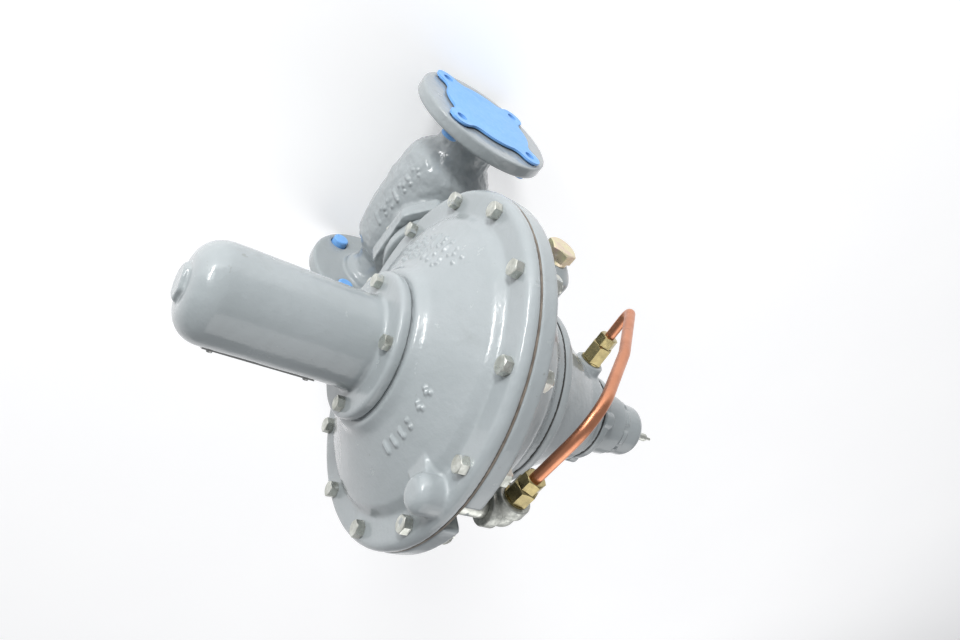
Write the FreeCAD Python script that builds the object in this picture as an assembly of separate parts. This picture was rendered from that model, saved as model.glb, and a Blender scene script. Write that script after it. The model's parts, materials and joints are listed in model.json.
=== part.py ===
"""Flanged, diaphragm-operated gas pressure regulator with a pilot, as separate pieces.

Frame, in mm: +X runs along the pipe from inlet to outlet, +Z runs from the pipe up to the
diaphragm casing, and the origin is the centre of the inlet flange's face. The casing's axis is
parallel to Y: the spring case points to -Y and the pilot to +Y.
"""

import FreeCAD, Part
import math
import os

Vector = FreeCAD.Vector

X_AXIS = Vector(1, 0, 0)
Y_AXIS = Vector(0, 1, 0)
Z_AXIS = Vector(0, 0, 1)

# Pipe end dimensions of a NPS 2, Class 150 flanged valve body
FACE_TO_FACE = 254.0
FLANGE_R = 152.4 / 2
FLANGE_T = 15.9
RAISED_FACE_R = 92.1 / 2
RAISED_FACE_T = 1.6
BOLT_CIRCLE_R = 120.65 / 2
FLANGE_HOLE_R = 19.05 / 2
PORT_R = 50.8 / 2

# Places of the main joints
MID_X = FACE_TO_FACE / 2
CASING_Z = 264.0
PARTING_Y = -42.0
RELAY_JOINT_Y = 44.0
PILOT_JOINT_Y = 134.0
TOWER_JOINT_Y = -90.5
TOWER_END_Y = -236.0
GASKET_T = 1.0

# Diaphragm casing
CASING_R = 155.0
CASING_BOLT_COUNT = 12
CASING_BOLT_CIRCLE_R = 142.5
CASING_BOLT_R = 4.0
CASING_BOLT_AF = 12.7
CASING_HEAD_T = 7.0
HEX_DISC_SHARE = 0.47
HEX_CHAMFER = math.radians(30)
CASING_NUT_AF = 16.0
CASING_NUT_T = 8.0
FRONT_FLANGE_T = 11.0
REAR_FLANGE_T = 16.5
DIAPHRAGM_T = 1.6
DOME_ROOT_R = 126.5
WALL_T = 8.0

# Spring case, the tower in front
TOWER_FLANGE_R = 62.0
TOWER_FLANGE_T = 9.0
TOWER_R = 39.0
TOWER_WALL_T = 6.0
TOWER_BOLT_CIRCLE_R = 51.0
PLATE_GAP = 0.1
PLATE_T = 1.0
PLATE_HALF_ANGLE = 41.0
TOWER_BOLT_R = 3.0
TOWER_BOLT_AF = 11.0

# Relay case and pilot behind
RELAY_R = 84.5
PILOT_FLANGE_R = 42.0
PILOT_BOLT_CIRCLE_R = 37.0
CAP_R = 26.0
CAP_SEAT_Y = 176.0
CAP_END_Y = 208.0

# Valve trim
SEAT_Z = 12.0
ORIFICE_R = 19.0
BODY_TOP_Z = 94.0
STEM_R = 6.0
TOP_SCREW_R = 4.0

# Lever: it turns the diaphragm's travel along Y into the stem's lift along Z
PIVOT_Y = -25.0
PIVOT_Z = 150.0
SHORT_ARM = 25.0
DIAPHRAGM_TRAVEL = 26.0
LONG_ARM = CASING_Z - PIVOT_Z
REST_TILT = math.atan(DIAPHRAGM_TRAVEL / 2 / LONG_ARM)
LEVER_TOP_Y = PIVOT_Y + DIAPHRAGM_TRAVEL / 2
LEVER_TIP_Z = PIVOT_Z - SHORT_ARM * math.tan(REST_TILT)
LEVER_T = 8.0
LEVER_PIN_R = 4.0

# Fittings and the control tube
TUBE_R = 9.525 / 2
LOWER_BODY_T = 15.0
UPPER_BODY_T = 20.0
TUBE_NUT_T = 10.0
TUBE_NUT_AF = 16.5
CONNECTOR_AF = 19.0
NOSE_R = 6.8
DOME_PORT_Z = CASING_Z + 138.0
ELBOW_Y = 6.0
SIDE_TILT = math.radians(8)
RELAY_PORT = Vector(71.5, 112, 249.2)
PLUG_PORT = Vector(1, 15, 231)
PLUG_BOSS_R = 25
PLUG_AF = 24
PLUG_TURN = -2
CONTROL_PORT_R = 12.0
CONTROL_PORT_DEPTH = 20.0
VENT_PORT_R = 6.2
VENT_PORT_DEPTH = 10.0
SIDE_OUT = Vector(-math.cos(SIDE_TILT), 0, -math.sin(SIDE_TILT))


# Shipping covers
COVER_R = 51.0
COVER_T = 2.4
COVER_HOLLOW_R = 14.0
EAR_R = 13.0
PEG_R = 9.1


# ---------------------------------------------------------------- shape helpers

def cylinder(radius, start, direction, height):
    return Part.makeCylinder(radius, height, start, direction)


def tube(outer, inner, start, direction, height):
    return cylinder(outer, start, direction, height).cut(cylinder(inner, start, direction, height))


def block(x, y, z):
    """Box between pairs of limits along X, Y and Z."""
    return Part.makeBox(x[1] - x[0], y[1] - y[0], z[1] - z[0], Vector(x[0], y[0], z[0]))


def rounded_wire(corners):
    """Closed wire through (point, radius) corners, with each corner rounded by its radius."""
    turns = []
    for i, (corner, radius) in enumerate(corners):
        if radius == 0:
            turns.append((corner, corner, None))
            continue
        back = (corners[i - 1][0] - corner).normalize()
        ahead = (corners[(i + 1) % len(corners)][0] - corner).normalize()
        half = back.getAngle(ahead) / 2
        reach = radius / math.tan(half)
        inward = (back + ahead).normalize()
        middle = corner + inward * (radius / math.sin(half) - radius)
        turns.append((corner + back * reach, corner + ahead * reach, middle))
    edges = []
    for i, (start, end, middle) in enumerate(turns):
        if middle is not None:
            edges.append(Part.Arc(start, middle, end).toShape())
        following = turns[(i + 1) % len(turns)][0]
        if (following - end).Length > 1e-6:
            edges.append(Part.LineSegment(end, following).toShape())
    return Part.Wire(edges)


def turned(profile, origin, axis):
    """Solid of revolution. The profile lists (radius, place along the axis, corner radius)."""
    side = Z_AXIS if abs(axis.z) < 0.9 else X_AXIS
    side = (side - axis * side.dot(axis)).normalize()
    corners = [(origin + side * r + axis * t, rounding) for r, t, rounding in profile]
    return Part.Face(rounded_wire(corners)).revolve(origin, axis, 360)


def casing_turned(profile):
    """Solid of revolution about the casing's axis, with the profile's places as Y."""
    return turned(profile, Vector(MID_X, 0, CASING_Z), Y_AXIS)


def hexagon(across_flats, start, direction, height, angle=0):
    """Hexagonal prism whose far end is turned to a chamfered disc, turned about its own axis by an angle."""
    side = Z_AXIS if abs(direction.z) < 0.9 else X_AXIS
    side = (side - direction * side.dot(direction)).normalize()
    other = direction.cross(side)
    corner_r = across_flats / math.sqrt(3)
    disc_r = across_flats * HEX_DISC_SHARE
    points = []
    for i in range(6):
        turn = math.radians(60 * i + 30)
        points.append(start + side * (corner_r * math.cos(turn)) + other * (corner_r * math.sin(turn)))
    prism = Part.Face(Part.makePolygon(points + points[:1])).extrude(direction * height)
    outer_r = corner_r * 1.1
    fall = (outer_r - disc_r) * math.tan(HEX_CHAMFER)
    envelope = turned(
        [(0, 0, 0), (outer_r, 0, 0), (outer_r, height - fall, 0), (disc_r, height, 0), (0, height, 0)],
        start,
        direction,
    )
    solid = prism.common(envelope)
    solid.rotate(start, direction, angle + 30)
    return solid


def around(shape, count, centre, axis, first=0.0):
    """Copies of a shape spread evenly around an axis."""
    copies = []
    for i in range(count):
        copy = shape.copy()
        copy.rotate(centre, axis, first + 360.0 * i / count)
        copies.append(copy)
    return copies


def on_casing(angle, radius, y):
    """Point at an angle from +X around the casing's axis."""
    turn = math.radians(angle)
    return Vector(MID_X + radius * math.cos(turn), y, CASING_Z + radius * math.sin(turn))


def casing_angles(count, first):
    return [first + 360.0 * i / count for i in range(count)]


def coil(radius, wire_r, start_y, end_y, turns):
    """Round-wire compression spring about the casing's axis."""
    length = end_y - start_y - 2 * wire_r
    helix = Part.makeHelix(length / turns, length, radius)
    path = Part.Wire(helix.Edges)
    section = Part.Wire(Part.makeCircle(wire_r, Vector(radius, 0, 0), Y_AXIS))
    spring = path.makePipeShell([section], True, True)
    spring.rotate(Vector(0, 0, 0), X_AXIS, -90)
    spring.translate(Vector(MID_X, start_y + wire_r, CASING_Z))
    return spring


def union(first, *others):
    return first.fuse(list(others)).removeSplitter()


# ---------------------------------------------------------------- valve body

def bulb(shrink):
    """Globe of the valve body about the pipe's axis, with its wall moved inwards."""
    globe_r = 52.5 - shrink
    neck_r = 31.0 - shrink
    return turned(
        [
            (0, FLANGE_T - 1 + shrink, 0),
            (neck_r, FLANGE_T - 1 + shrink, 0),
            (neck_r, 47, 14),
            (globe_r - 3.5, 68, 22),
            (globe_r, 102, 80),
            (globe_r, FACE_TO_FACE - 102, 80),
            (globe_r - 3.5, FACE_TO_FACE - 68, 22),
            (neck_r, FACE_TO_FACE - 47, 14),
            (neck_r, FACE_TO_FACE - FLANGE_T + 1 - shrink, 0),
            (0, FACE_TO_FACE - FLANGE_T + 1 - shrink, 0),
        ],
        Vector(0, 0, 0),
        X_AXIS,
    )


def pipe_flange(face_x, direction):
    """Raised-face flange with four bolt holes, standing inwards from its gasket face."""
    face = Vector(face_x, 0, 0)
    disc = turned(
        [
            (0, 0, 0),
            (RAISED_FACE_R, 0, 0),
            (RAISED_FACE_R, RAISED_FACE_T, 0),
            (FLANGE_R, RAISED_FACE_T, 1.2),
            (FLANGE_R, FLANGE_T, 2.5),
            (39, FLANGE_T, 2.5),
            (38, FLANGE_T + 7, 3),
            (33, FLANGE_T + 11, 4),
            (30.5, FLANGE_T + 18, 0),
            (0, FLANGE_T + 18, 0),
        ],
        face,
        direction,
    )
    hole = cylinder(FLANGE_HOLE_R, face + Vector(0, BOLT_CIRCLE_R, 0) - direction, direction, FLANGE_T + 2)
    for cutter in around(hole, 4, face, X_AXIS, 45):
        disc = disc.cut(cutter)
    return disc


def body_top_flange():
    """Octagonal pad that carries the casing's neck."""
    half = 56.0
    corner = 26.0
    points = [
        (-half, corner - half), (corner - half, -half), (half - corner, -half), (half, corner - half),
        (half, half - corner), (half - corner, half), (corner - half, half), (-half, half - corner),
    ]
    corners = [(Vector(MID_X + x, y, BODY_TOP_Z - 16), 6) for x, y in points]
    return Part.Face(rounded_wire(corners)).extrude(Vector(0, 0, 16))


def top_screw_places():
    reach = 47.0
    return [(MID_X + reach, 0), (MID_X, reach), (MID_X - reach, 0), (MID_X, -reach)]


def valve_body():
    neck = turned(
        [(0, 0, 0), (39, 0, 0), (39, BODY_TOP_Z - 14, 0), (0, BODY_TOP_Z - 14, 0)],
        Vector(MID_X, 0, 0),
        Z_AXIS,
    )
    foot = turned([(0, -58, 0), (24, -58, 3), (24, -30, 0), (0, -30, 0)], Vector(MID_X, 0, 0), Z_AXIS)
    outer = bulb(0).fuse([
        pipe_flange(0, X_AXIS),
        pipe_flange(FACE_TO_FACE, -X_AXIS),
        neck,
        foot,
        body_top_flange(),
    ])
    web = 6.0
    cavity = bulb(9)
    lower = cavity.common(block((58, 176), (-60, 60), (-60, -web)))
    upper = cavity.common(block((78, 200), (-60, 60), (web, 60)))
    inlet = cylinder(PORT_R, Vector(-1, 0, 0), X_AXIS, 71)
    outlet = cylinder(PORT_R, Vector(FACE_TO_FACE + 1, 0, 0), -X_AXIS, 71)
    bonnet_bore = cylinder(30, Vector(MID_X, 0, web), Z_AXIS, BODY_TOP_Z)
    seat_bore = cylinder(22, Vector(MID_X, 0, -web - 2), Z_AXIS, 2 * web + 4)
    body = outer.cut([lower, upper, inlet, outlet, bonnet_bore, seat_bore])
    for x, y in top_screw_places():
        body = body.cut(cylinder(TOP_SCREW_R + 0.5, Vector(x, y, BODY_TOP_Z - 17), Z_AXIS, 18))
    return body.removeSplitter()


def orifice_ring():
    return turned(
        [
            (ORIFICE_R, -6, 1), (21.95, -6, 0), (21.95, 6, 0), (27, 6, 0),
            (27, 9, 1), (22, 9, 0.5), (20.5, SEAT_Z, 0.4), (ORIFICE_R, SEAT_Z, 0.4),
        ],
        Vector(MID_X, 0, 0),
        Z_AXIS,
    )


def body_gasket():
    return tube(42.5, 30, Vector(MID_X, 0, BODY_TOP_Z), Z_AXIS, GASKET_T)


def body_cap_screws():
    screws = []
    for x, y in top_screw_places():
        shank = cylinder(TOP_SCREW_R, Vector(x, y, BODY_TOP_Z - 17), Z_AXIS, 27)
        head = hexagon(13, Vector(x, y, BODY_TOP_Z - 16), -Z_AXIS, 6, 15)
        screws.append(head.fuse(shank))
    return screws


# ---------------------------------------------------------------- valve trim

def disc_holder():
    cup = turned(
        [
            (0, 16.2, 0), (23, 16.2, 0), (23, SEAT_Z + 1.5, 0.3), (25.5, SEAT_Z + 1.5, 0.3),
            (25.5, 24, 2), (10, 26, 1), (10, 36, 1), (0, 36, 0),
        ],
        Vector(MID_X, 0, 0),
        Z_AXIS,
    )
    return cup.cut(cylinder(STEM_R - 1, Vector(MID_X, 0, 10), Z_AXIS, 40))


def valve_disc():
    return tube(22.9, 5.2, Vector(MID_X, 0, SEAT_Z), Z_AXIS, 4.1)


def disc_screw():
    head = hexagon(13, Vector(MID_X, 0, SEAT_Z - 0.1), -Z_AXIS, 5)
    return head.fuse(cylinder(4.9, Vector(MID_X, 0, SEAT_Z - 0.1), Z_AXIS, 14))


def valve_stem():
    """Rod with a windowed block at its top, which the lever's tip lifts."""
    low = cylinder(STEM_R - 1.05, Vector(MID_X, 0, 26.5), Z_AXIS, 9.6)
    rod = cylinder(STEM_R, Vector(MID_X, 0, 36.1), Z_AXIS, LEVER_TIP_Z - 8 - 36.1)
    head = block((MID_X - 9, MID_X + 9), (-6, 6), (LEVER_TIP_Z - 9, LEVER_TIP_Z + 9))
    window = block((MID_X - 5, MID_X + 5), (-9, 9), (LEVER_TIP_Z - 4.1, LEVER_TIP_Z + 4.1))
    return union(low, rod, head).cut(window)


def stem_guide():
    guide = turned(
        [
            (STEM_R + 0.05, 88, 0), (29.8, 88, 1), (29.8, BODY_TOP_Z + GASKET_T, 0),
            (23.9, BODY_TOP_Z + GASKET_T, 0), (23.9, 104, 1), (STEM_R + 0.05, 104, 0),
        ],
        Vector(MID_X, 0, 0),
        Z_AXIS,
    )
    groove = tube(STEM_R + 2.6, STEM_R, Vector(MID_X, 0, 94), Z_AXIS, 3)
    return guide.cut(groove)


def stem_o_ring():
    return Part.makeTorus(STEM_R + 1.3, 1.2, Vector(MID_X, 0, 95.5), Z_AXIS)


# ---------------------------------------------------------------- casings

def casing_bolt_holes(start_y, length):
    holes = []
    for angle in casing_angles(CASING_BOLT_COUNT, 15):
        holes.append(cylinder(CASING_BOLT_R + 0.5, on_casing(angle, CASING_BOLT_CIRCLE_R, start_y), Y_AXIS, length))
    return holes


def rear_casing():
    """Bowl with the main flange, the neck down to the valve body and the relay's seat."""
    joint = PARTING_Y + DIAPHRAGM_T / 2
    back = PARTING_Y + REAR_FLANGE_T
    shell = casing_turned([
        (0, joint, 0), (CASING_R, joint, 1), (CASING_R, back, 3), (128, back, 4),
        (100, 22, 24), (89, 34, 3), (RELAY_R, 36, 1), (RELAY_R, RELAY_JOINT_Y, 0), (0, RELAY_JOINT_Y, 0),
    ])
    neck_top = PIVOT_Z + 20
    low = BODY_TOP_Z + GASKET_T
    neck = turned(
        [(0, low, 0), (55, low, 2), (55, low + 12, 2), (38, low + 14, 6), (36, neck_top, 0), (0, neck_top, 0)],
        Vector(MID_X, 0, 0),
        Z_AXIS,
    )
    neck = neck.common(block((0, 300), (-60, 30), (0, 200)).fuse(block((0, 300), (0, 60), (0, 165))))
    side_boss = turned(
        [(0, -45, 0), (PLUG_BOSS_R, -45, 0), (PLUG_BOSS_R, -10, 8), (13, 0, 1), (0, 0, 0)], PLUG_PORT, -X_AXIS
    )
    side_boss = side_boss.common(block((-20, MID_X), (PARTING_Y, 34), (0, CASING_Z)))
    control_boss = turned(
        [(0, -45, 0), (19, -45, 0), (19, 8, 2.5), (0, 8, 0)], control_port(), X_AXIS
    )
    solid = shell.fuse([neck, side_boss, control_boss])
    inside = casing_turned([
        (0, joint - 1, 0), (119, joint - 1, 0), (119, back - 6, 8), (88, 18, 20), (80, 36, 8), (0, 36, 0),
    ])
    relay_bore = casing_turned([(0, 30, 0), (14, 30, 0), (14, 50, 0), (0, 50, 0)])
    neck_bore = cylinder(24, Vector(MID_X, 0, low - 1), Z_AXIS, 80)
    neck_bore = neck_bore.common(block((0, 300), (-20, 60), (0, 190)).fuse(block((0, 300), (-60, 60), (0, 128))))
    plug_bore = cylinder(9.2, PLUG_PORT - X_AXIS, X_AXIS, 50)
    control_thread = cylinder(CONTROL_PORT_R, control_port() + X_AXIS * 9, -X_AXIS, CONTROL_PORT_DEPTH + 1)
    control_way = cylinder(8, control_port(), -X_AXIS, 52)
    solid = solid.cut([inside, relay_bore, neck_bore, plug_bore, control_thread, control_way])
    lugs = [
        block((MID_X + side - 5, MID_X + side + 5), (PIVOT_Y - 9, PIVOT_Y + 9), (134, PIVOT_Z + 9))
        for side in (-16, 16)
    ]
    pin_hole = cylinder(LEVER_PIN_R + 0.03, Vector(MID_X - 22, PIVOT_Y, PIVOT_Z), X_AXIS, 44)
    solid = solid.fuse(lugs).cut(pin_hole)
    notch = block((MID_X - 13, MID_X + 13), (joint - 1, back + 16), (DOME_PORT_Z - 13, CASING_Z + CASING_R + 2))
    pocket = block((MID_X - 7, MID_X + 7), (PIVOT_Y - 15, 12), (PIVOT_Z - 16, PIVOT_Z + 30))
    nut_rooms = [
        cylinder(11, on_casing(angle, CASING_BOLT_CIRCLE_R, back), Y_AXIS, 14)
        for angle in casing_angles(CASING_BOLT_COUNT, 15)
    ]
    solid = solid.cut([notch, pocket] + nut_rooms + casing_bolt_holes(joint - 1, 20))
    for x, y in top_screw_places():
        solid = solid.cut(cylinder(TOP_SCREW_R + 0.05, Vector(x, y, low - 1), Z_AXIS, 12))
    for angle in casing_angles(6, 0):
        solid = solid.cut(cylinder(3.2, on_casing(angle, 70, 30), Y_AXIS, 16))
    return solid.removeSplitter()


def control_port():
    """Mouth of the downstream control line's port, on the side away from the plug."""
    return Vector(FACE_TO_FACE - PLUG_PORT.x, PLUG_PORT.y, PLUG_PORT.z)


def front_casing():
    """Bowl in front, with the spring case's pad and the control tube's boss."""
    joint = PARTING_Y - DIAPHRAGM_T / 2
    face = PARTING_Y - FRONT_FLANGE_T
    shell = casing_turned([
        (0, joint, 0), (CASING_R, joint, 1), (CASING_R, face, 7), (130, face, 4), (DOME_ROOT_R - 4, face - 7, 8),
        (72, TOWER_JOINT_Y + 8, 14), (66, TOWER_JOINT_Y + GASKET_T, 2), (0, TOWER_JOINT_Y + GASKET_T, 0),
    ])
    port = Vector(MID_X, joint, DOME_PORT_Z)
    boss = turned([(0, 0, 0), (15, 0, 0), (15, 31, 9), (0, 31, 0)], port, -Y_AXIS)
    spine = block((MID_X - 11, MID_X + 11), (face - 12, joint), (CASING_Z + 105, DOME_PORT_Z))
    pads = [
        cylinder(11, on_casing(angle, TOWER_BOLT_CIRCLE_R, TOWER_JOINT_Y + GASKET_T), Y_AXIS, 25)
        for angle in casing_angles(4, 45)
    ]
    solid = shell.fuse([boss, spine] + pads)
    inside = casing_turned([
        (0, joint + 1, 0), (119, joint + 1, 0), (119, face - 4, 10),
        (70, TOWER_JOINT_Y + 17, 14), (40, TOWER_JOINT_Y + 11, 4), (33, TOWER_JOINT_Y + 11, 0),
        (33, TOWER_JOINT_Y - 1, 0), (0, TOWER_JOINT_Y - 1, 0),
    ])
    port_bore = cylinder(8.6, port + Y_AXIS, -Y_AXIS, 20)
    passage = cylinder(4, Vector(MID_X, face - 2, DOME_PORT_Z), -Z_AXIS, 40)
    solid = solid.cut([inside, port_bore, passage] + casing_bolt_holes(face - 2, 14))
    for angle in casing_angles(4, 45):
        place = on_casing(angle, TOWER_BOLT_CIRCLE_R, TOWER_JOINT_Y - 1)
        solid = solid.cut(cylinder(TOWER_BOLT_R + 0.05, place, Y_AXIS, 17))
    return solid.removeSplitter()


def casing_bolts():
    bolts = []
    face = PARTING_Y - FRONT_FLANGE_T
    for i, angle in enumerate(casing_angles(CASING_BOLT_COUNT, 15)):
        place = on_casing(angle, CASING_BOLT_CIRCLE_R, face)
        head = hexagon(CASING_BOLT_AF, place, -Y_AXIS, CASING_HEAD_T, 17 * i)
        shank = cylinder(CASING_BOLT_R, place, Y_AXIS, FRONT_FLANGE_T + REAR_FLANGE_T + 12)
        bolts.append(head.fuse(shank).removeSplitter())
    return bolts


def casing_nuts():
    nuts = []
    back = PARTING_Y + REAR_FLANGE_T
    for i, angle in enumerate(casing_angles(CASING_BOLT_COUNT, 15)):
        place = on_casing(angle, CASING_BOLT_CIRCLE_R, back)
        nut = hexagon(CASING_NUT_AF, place, Y_AXIS, CASING_NUT_T, 23 * i)
        nuts.append(nut.cut(cylinder(CASING_BOLT_R + 0.05, place, Y_AXIS, 10)))
    return nuts


def main_diaphragm():
    """Rubber sheet clamped at its rim, with one deep convolution around the plates, towards the spring."""
    half = DIAPHRAGM_T / 2
    rest = plate_y()
    flat = casing_turned([
        (9, rest, 0), (9, rest - DIAPHRAGM_T, 0), (79, rest - DIAPHRAGM_T, 3), (96, -57, 7),
        (113, PARTING_Y - half, 4), (CASING_R - 0.5, PARTING_Y - half, 0), (CASING_R - 0.5, PARTING_Y + half, 0),
        (114, PARTING_Y + half, 5), (96, -53.5, 6), (80, rest, 4),
    ])
    port = cylinder(10, Vector(MID_X, PARTING_Y - 2, DOME_PORT_Z), Y_AXIS, 4)
    return flat.cut(casing_bolt_holes(PARTING_Y - 2, 4) + [port])


def plate_y():
    """Where the diaphragm's flat middle starts behind its rear plate at rest."""
    return -32.0


# ---------------------------------------------------------------- diaphragm stack

def rear_plate():
    start = plate_y()
    return casing_turned([(8.1, start, 0), (72, start, 0), (74, start + 4, 2), (8.1, start + 4, 0)])


def front_plate():
    start = plate_y() - DIAPHRAGM_T
    return casing_turned([
        (8.1, start, 0), (74, start, 0), (74, start - 5, 2.5), (38, start - 5, 2), (38, start - 3, 1), (8.1, start - 3, 0),
    ])


def pusher_post():
    """Bolt through the plates whose slotted end carries the lever's top pin."""
    start = plate_y()
    shank = casing_turned([
        (0, start - 13, 0), (8, start - 13, 1), (8, start + 4, 0), (13, start + 4, 0), (13, start + 7, 1), (0, start + 7, 0),
    ])
    fork = block((MID_X - 11, MID_X + 11), (start + 4, LEVER_TOP_Y + 7), (CASING_Z - 11, CASING_Z + 11))
    gap = block((MID_X - 4.6, MID_X + 4.6), (start + 7, LEVER_TOP_Y + 8), (CASING_Z - 12, CASING_Z + 12))
    slot = block(
        (MID_X - 12, MID_X + 12),
        (LEVER_TOP_Y - LEVER_PIN_R - 0.1, LEVER_TOP_Y + LEVER_PIN_R + 0.1),
        (CASING_Z - 6, CASING_Z + 6),
    )
    return shank.fuse(fork).cut([gap, slot]).removeSplitter()


def post_nut():
    start = plate_y() - DIAPHRAGM_T - 3
    place = Vector(MID_X, start, CASING_Z)
    return hexagon(24, place, -Y_AXIS, 7).cut(cylinder(8.05, place, -Y_AXIS, 8))


def main_spring():
    return coil(26, 2.75, TOWER_END_Y + 26.1, plate_y() - DIAPHRAGM_T - 3.1, 10)


# ---------------------------------------------------------------- lever

def lever():
    """Bell-crank: a long arm up to the post and a short arm back to the stem."""
    low_x = MID_X - LEVER_T / 2
    hub = cylinder(10.5, Vector(low_x, PIVOT_Y, PIVOT_Z), X_AXIS, LEVER_T)
    eye = cylinder(8.5, Vector(low_x, LEVER_TOP_Y, CASING_Z), X_AXIS, LEVER_T)
    tip = cylinder(4.0, Vector(low_x, 0, LEVER_TIP_Z), X_AXIS, LEVER_T)

    def arm(start, end, start_half, end_half):
        along = (end - start).normalize()
        across = along.cross(X_AXIS)
        points = [
            start + across * start_half, end + across * end_half,
            end - across * end_half, start - across * start_half,
        ]
        return Part.Face(Part.makePolygon(points + points[:1])).extrude(X_AXIS * LEVER_T)

    pivot = Vector(low_x, PIVOT_Y, PIVOT_Z)
    long_arm = arm(pivot, Vector(low_x, LEVER_TOP_Y, CASING_Z), 8, 5)
    short_arm = arm(pivot, Vector(low_x, 0, LEVER_TIP_Z), 6, 2)
    solid = union(hub, eye, tip, long_arm, short_arm)
    bore = cylinder(LEVER_PIN_R + 0.04, pivot - X_AXIS, X_AXIS, LEVER_T + 2)
    top_bore = cylinder(LEVER_PIN_R, Vector(low_x - 1, LEVER_TOP_Y, CASING_Z), X_AXIS, LEVER_T + 2)
    return solid.cut([bore, top_bore])


def lever_pin():
    return turned(
        [(0, 0, 0), (LEVER_PIN_R, 0, 0.8), (LEVER_PIN_R, 42, 0.8), (0, 42, 0)],
        Vector(MID_X - 21, PIVOT_Y, PIVOT_Z),
        X_AXIS,
    )


def lever_top_pin():
    return turned(
        [(0, 0, 0), (LEVER_PIN_R, 0, 0.8), (LEVER_PIN_R, 21, 0.8), (0, 21, 0)],
        Vector(MID_X - 10.5, LEVER_TOP_Y, CASING_Z),
        X_AXIS,
    )


# ---------------------------------------------------------------- spring case

def spring_case():
    joint = TOWER_JOINT_Y
    flange = joint - TOWER_FLANGE_T
    inner_r = TOWER_R - TOWER_WALL_T
    solid = casing_turned([
        (0, joint, 0), (TOWER_FLANGE_R, joint, 1), (TOWER_FLANGE_R, flange, 3.5), (TOWER_R + 1, flange, 3),
        (TOWER_R, flange - 25, 0), (TOWER_R, TOWER_END_Y, 22), (0, TOWER_END_Y, 0),
    ])
    boss = hexagon(26, Vector(MID_X, TOWER_END_Y + 5, CASING_Z), -Y_AXIS, 9, 20)
    solid = solid.fuse(boss)
    inside = casing_turned([
        (0, joint + 1, 0), (inner_r, joint + 1, 0), (inner_r, TOWER_END_Y + 7, 15), (0, TOWER_END_Y + 7, 0),
    ])
    solid = solid.cut(inside)
    for angle in casing_angles(4, 45):
        place = on_casing(angle, TOWER_BOLT_CIRCLE_R, flange - 2)
        solid = solid.cut(cylinder(TOWER_BOLT_R + 0.4, place, Y_AXIS, 14))
    return solid.removeSplitter()


def spring_case_gasket():
    ring = casing_turned([
        (33, TOWER_JOINT_Y, 0), (TOWER_FLANGE_R - 0.5, TOWER_JOINT_Y, 0),
        (TOWER_FLANGE_R - 0.5, TOWER_JOINT_Y + GASKET_T, 0), (33, TOWER_JOINT_Y + GASKET_T, 0),
    ])
    for angle in casing_angles(4, 45):
        place = on_casing(angle, TOWER_BOLT_CIRCLE_R, TOWER_JOINT_Y - 1)
        ring = ring.cut(cylinder(TOWER_BOLT_R + 0.4, place, Y_AXIS, 3))
    return ring


def spring_case_screws():
    screws = []
    flange = TOWER_JOINT_Y - TOWER_FLANGE_T
    for i, angle in enumerate(casing_angles(4, 45)):
        place = on_casing(angle, TOWER_BOLT_CIRCLE_R, flange)
        head = hexagon(TOWER_BOLT_AF, place, -Y_AXIS, 6, 20 + 11 * i)
        screws.append(head.fuse(cylinder(TOWER_BOLT_R, place, Y_AXIS, 24)).removeSplitter())
    return screws


def spring_button():
    """Stepped seat for the spring's far end."""
    end = TOWER_END_Y + 7
    return casing_turned([
        (0, end, 0), (14, end, 2), (14, end + 9, 3), (31, end + 16, 1), (31, end + 19, 0.5), (22.5, end + 19, 0),
        (21, end + 27, 2), (0, end + 27, 0),
    ])


def nameplate():
    """Thin curved plate lying against the spring case, on its +X side."""
    start = TOWER_END_Y + 26
    end = TOWER_JOINT_Y - TOWER_FLANGE_T - 26
    ring = tube(
        TOWER_R + PLATE_GAP + PLATE_T, TOWER_R + PLATE_GAP, Vector(MID_X, start, CASING_Z), Y_AXIS, end - start
    )
    reach = TOWER_R * 2
    half = math.radians(PLATE_HALF_ANGLE)
    wedge = [
        Vector(MID_X, start - 1, CASING_Z),
        Vector(MID_X + reach * math.cos(half), start - 1, CASING_Z + reach * math.sin(half)),
        Vector(MID_X + reach * math.cos(half), start - 1, CASING_Z - reach * math.sin(half)),
    ]
    sector = Part.Face(Part.makePolygon(wedge + wedge[:1])).extrude(Y_AXIS * (end - start + 2))
    return ring.common(sector)


def nameplate_rivets():
    rivets = []
    for angle in (5 - PLATE_HALF_ANGLE, PLATE_HALF_ANGLE - 5):
        outward = (on_casing(angle, 1, 0) - on_casing(angle, 0, 0)).normalize()
        for y in (TOWER_END_Y + 32, TOWER_JOINT_Y - TOWER_FLANGE_T - 32):
            place = on_casing(angle, TOWER_R + PLATE_GAP + PLATE_T + 0.05, y)
            rivets.append(turned([(0, 0, 0), (2.4, 0, 0), (1.9, 1.3, 0.6), (0, 1.6, 0)], place, outward))
    return rivets


# ---------------------------------------------------------------- relay and pilot

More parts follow.
